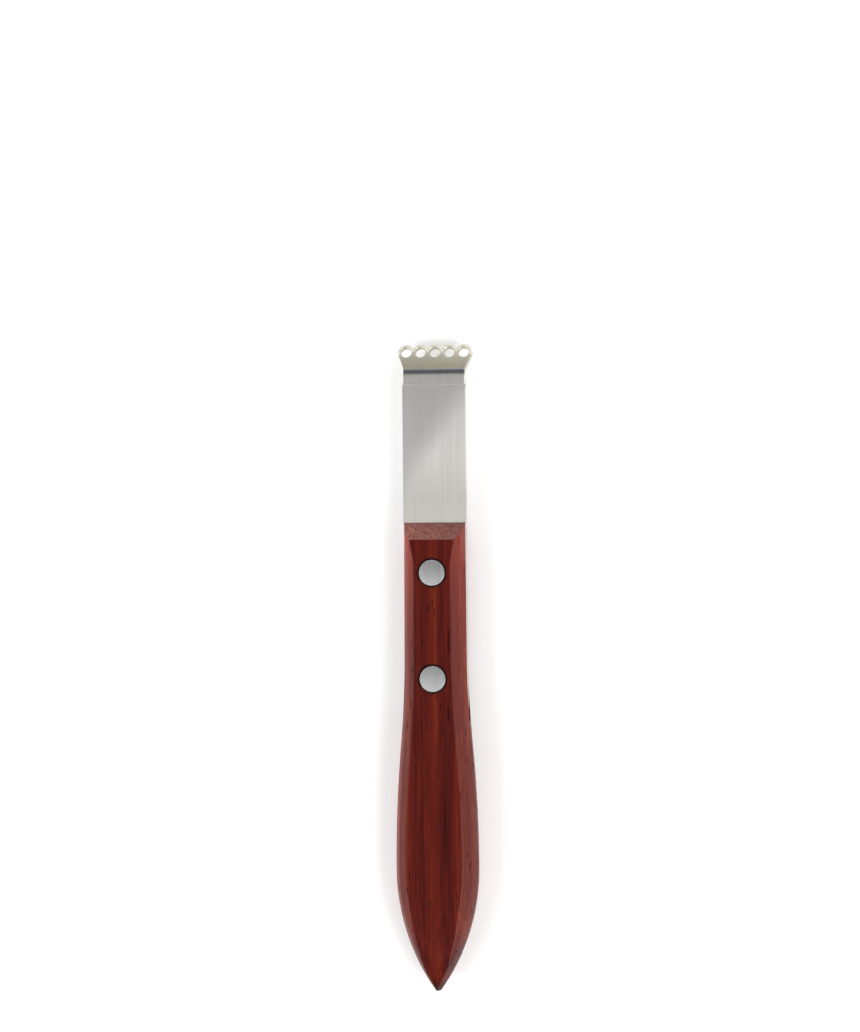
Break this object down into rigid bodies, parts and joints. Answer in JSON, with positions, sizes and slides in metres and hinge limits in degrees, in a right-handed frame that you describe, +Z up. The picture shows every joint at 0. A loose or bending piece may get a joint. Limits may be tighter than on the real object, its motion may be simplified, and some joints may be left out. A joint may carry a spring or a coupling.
{
  "type": "citrus zester",
  "caption": "Citrus zester with a bent, scalloped row of round zesting holes on a flat steel strip, riveted into a facetted, pointed rosewood handle.",
  "frame": {"origin": "on the table, under the middle of the tool's whole length, on its centre line", "axes": "+Z up, from the handle's back flat to the side that the picture shows; +Y along the strip towards the zesting head; +X to the right as pictured"},
  "size_m": [0.0236, 0.1844, 0.014],
  "materials": {
    "rosewood": "oiled rosewood, satin",
    "steel": "satin, brushed lengthwise",
    "rivet": "satin, ground flush"
  },
  "bodies": {
    "root": {"handle": "rosewood", "blade": "steel", "upper_rivet_stud": "rivet", "upper_rivet_socket": "rivet", "lower_rivet_stud": "rivet", "lower_rivet_socket": "rivet"}
  },
  "joints": []
}
